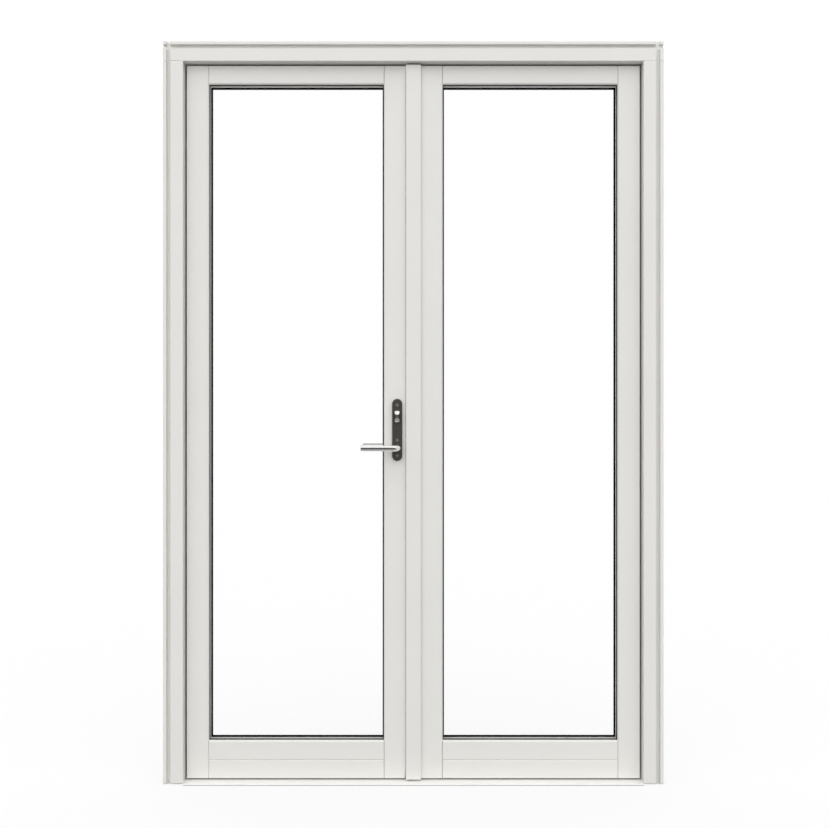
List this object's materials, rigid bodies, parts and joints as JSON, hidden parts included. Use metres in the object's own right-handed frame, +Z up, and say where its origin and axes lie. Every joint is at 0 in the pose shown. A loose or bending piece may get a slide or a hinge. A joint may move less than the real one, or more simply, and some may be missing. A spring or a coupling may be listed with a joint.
{
  "type": "french doors",
  "caption": "Pair of outward-opening glazed timber doors in a grooved frame with a low threshold, a proud meeting strip and a lever handle that drives edge rods.",
  "frame": {"origin": "middle of the frame's underside, at half the frame's depth", "axes": "+X along the width to the passive leaf, +Y outdoors, +Z up"},
  "size_m": [1.4, 0.1944, 2.08],
  "materials": {
    "paint": "satin off-white paint on timber",
    "aluminium": "off-white coated",
    "black_rubber": "matt extruded",
    "grey_rubber": "matt extruded",
    "zinc_steel": "zinc plated",
    "spacer": "matt off-white coated",
    "glass": "clear float glass",
    "blocks": "moulded",
    "dark_plate": "satin charcoal",
    "plate_screws": "charcoal heads with a bare steel recess",
    "polished": "polished"
  },
  "bodies": {
    "frame": {"head": "paint", "left_jamb": "paint", "right_jamb": "paint", "threshold": "aluminium", "frame_seal": "black_rubber", "head_keepers": "zinc_steel", "frame_sleeves": "zinc_steel", "left_hinge_frames": "zinc_steel", "right_hinge_frames": "zinc_steel", "left_hinge_pins": "zinc_steel", "right_hinge_pins": "zinc_steel", "frame_hinge_screws": "zinc_steel"},
    "active_leaf": {"active_hinge_stile": "paint", "active_top_rail": "paint", "active_bottom_rail": "paint", "active_kick_board": "paint", "active_inner_pane": "glass", "active_outer_pane": "glass", "active_spacer": "spacer", "active_inner_gasket": "black_rubber", "active_outer_gasket": "black_rubber", "active_glazing_beads": "paint", "active_setting_blocks": "blocks", "active_drip_rail": "aluminium", "active_bottom_seal": "black_rubber", "active_hinge_leaves": "zinc_steel", "active_hinge_screws": "zinc_steel", "active_lock_stile": "paint", "lock_faceplate": "zinc_steel", "lock_case": "zinc_steel", "handle_plate": "dark_plate", "handle_screws": "plate_screws"},
    "passive_leaf": {"passive_hinge_stile": "paint", "passive_top_rail": "paint", "passive_bottom_rail": "paint", "passive_kick_board": "paint", "passive_inner_pane": "glass", "passive_outer_pane": "glass", "passive_spacer": "spacer", "passive_inner_gasket": "black_rubber", "passive_outer_gasket": "black_rubber", "passive_glazing_beads": "paint", "passive_setting_blocks": "blocks", "passive_drip_rail": "aluminium", "passive_bottom_seal": "black_rubber", "passive_hinge_leaves": "zinc_steel", "passive_hinge_screws": "zinc_steel", "passive_meeting_stile": "paint", "meeting_post": "paint", "meeting_seal": "grey_rubber", "flush_bolt_plates": "zinc_steel"},
    "lever": {"lever_handle": "polished", "outer_lever": "polished", "spindle": "zinc_steel", "lock_hub": "zinc_steel"},
    "thumbturn": {"thumbturn": "polished"},
    "upper_rod": {"upper_rod": "zinc_steel"},
    "lower_rod": {"lower_rod": "zinc_steel"},
    "upper_flush_bolt": {"upper_flush_bolt": "zinc_steel"},
    "lower_flush_bolt": {"lower_flush_bolt": "zinc_steel"}
  },
  "joints": [
    {"name": "active_hinge", "type": "hinge", "parent": "frame", "child": "active_leaf", "pos_m": [-0.6555, 0.059, 1.04], "axis": [0, 0, 1], "range_deg": [0, 100]},
    {"name": "passive_hinge", "type": "hinge", "parent": "frame", "child": "passive_leaf", "pos_m": [0.6555, 0.059, 1.04], "axis": [0, 0, -1], "range_deg": [0, 100]},
    {"name": "lever_turn", "type": "hinge", "parent": "active_leaf", "child": "lever", "pos_m": [-0.0454, -0.018, 0.9415], "axis": [0, -1, 0], "range_deg": [0, 90]},
    {"name": "upper_rod_slide", "type": "slide", "parent": "active_leaf", "child": "upper_rod", "axis": [0, 0, 1], "range_m": [0, 0.012]},
    {"name": "lower_rod_slide", "type": "slide", "parent": "active_leaf", "child": "lower_rod", "axis": [0, 0, -1], "range_m": [0, 0.012]},
    {"name": "thumbturn_turn", "type": "hinge", "parent": "active_leaf", "child": "thumbturn", "pos_m": [-0.0454, -0.018, 1.0299], "axis": [0, -1, 0], "range_deg": [0, 90]},
    {"name": "upper_flush_slide", "type": "slide", "parent": "passive_leaf", "child": "upper_flush_bolt", "axis": [0, 0, 1], "range_m": [0, 0.012]},
    {"name": "lower_flush_slide", "type": "slide", "parent": "passive_leaf", "child": "lower_flush_bolt", "axis": [0, 0, -1], "range_m": [0, 0.012]}
  ],
  "couplings": [
    {"joint": "upper_rod_slide", "follows": "lever_turn", "m_per_rad": 0.00763},
    {"joint": "lower_rod_slide", "follows": "lever_turn", "m_per_rad": 0.00763}
  ]
}
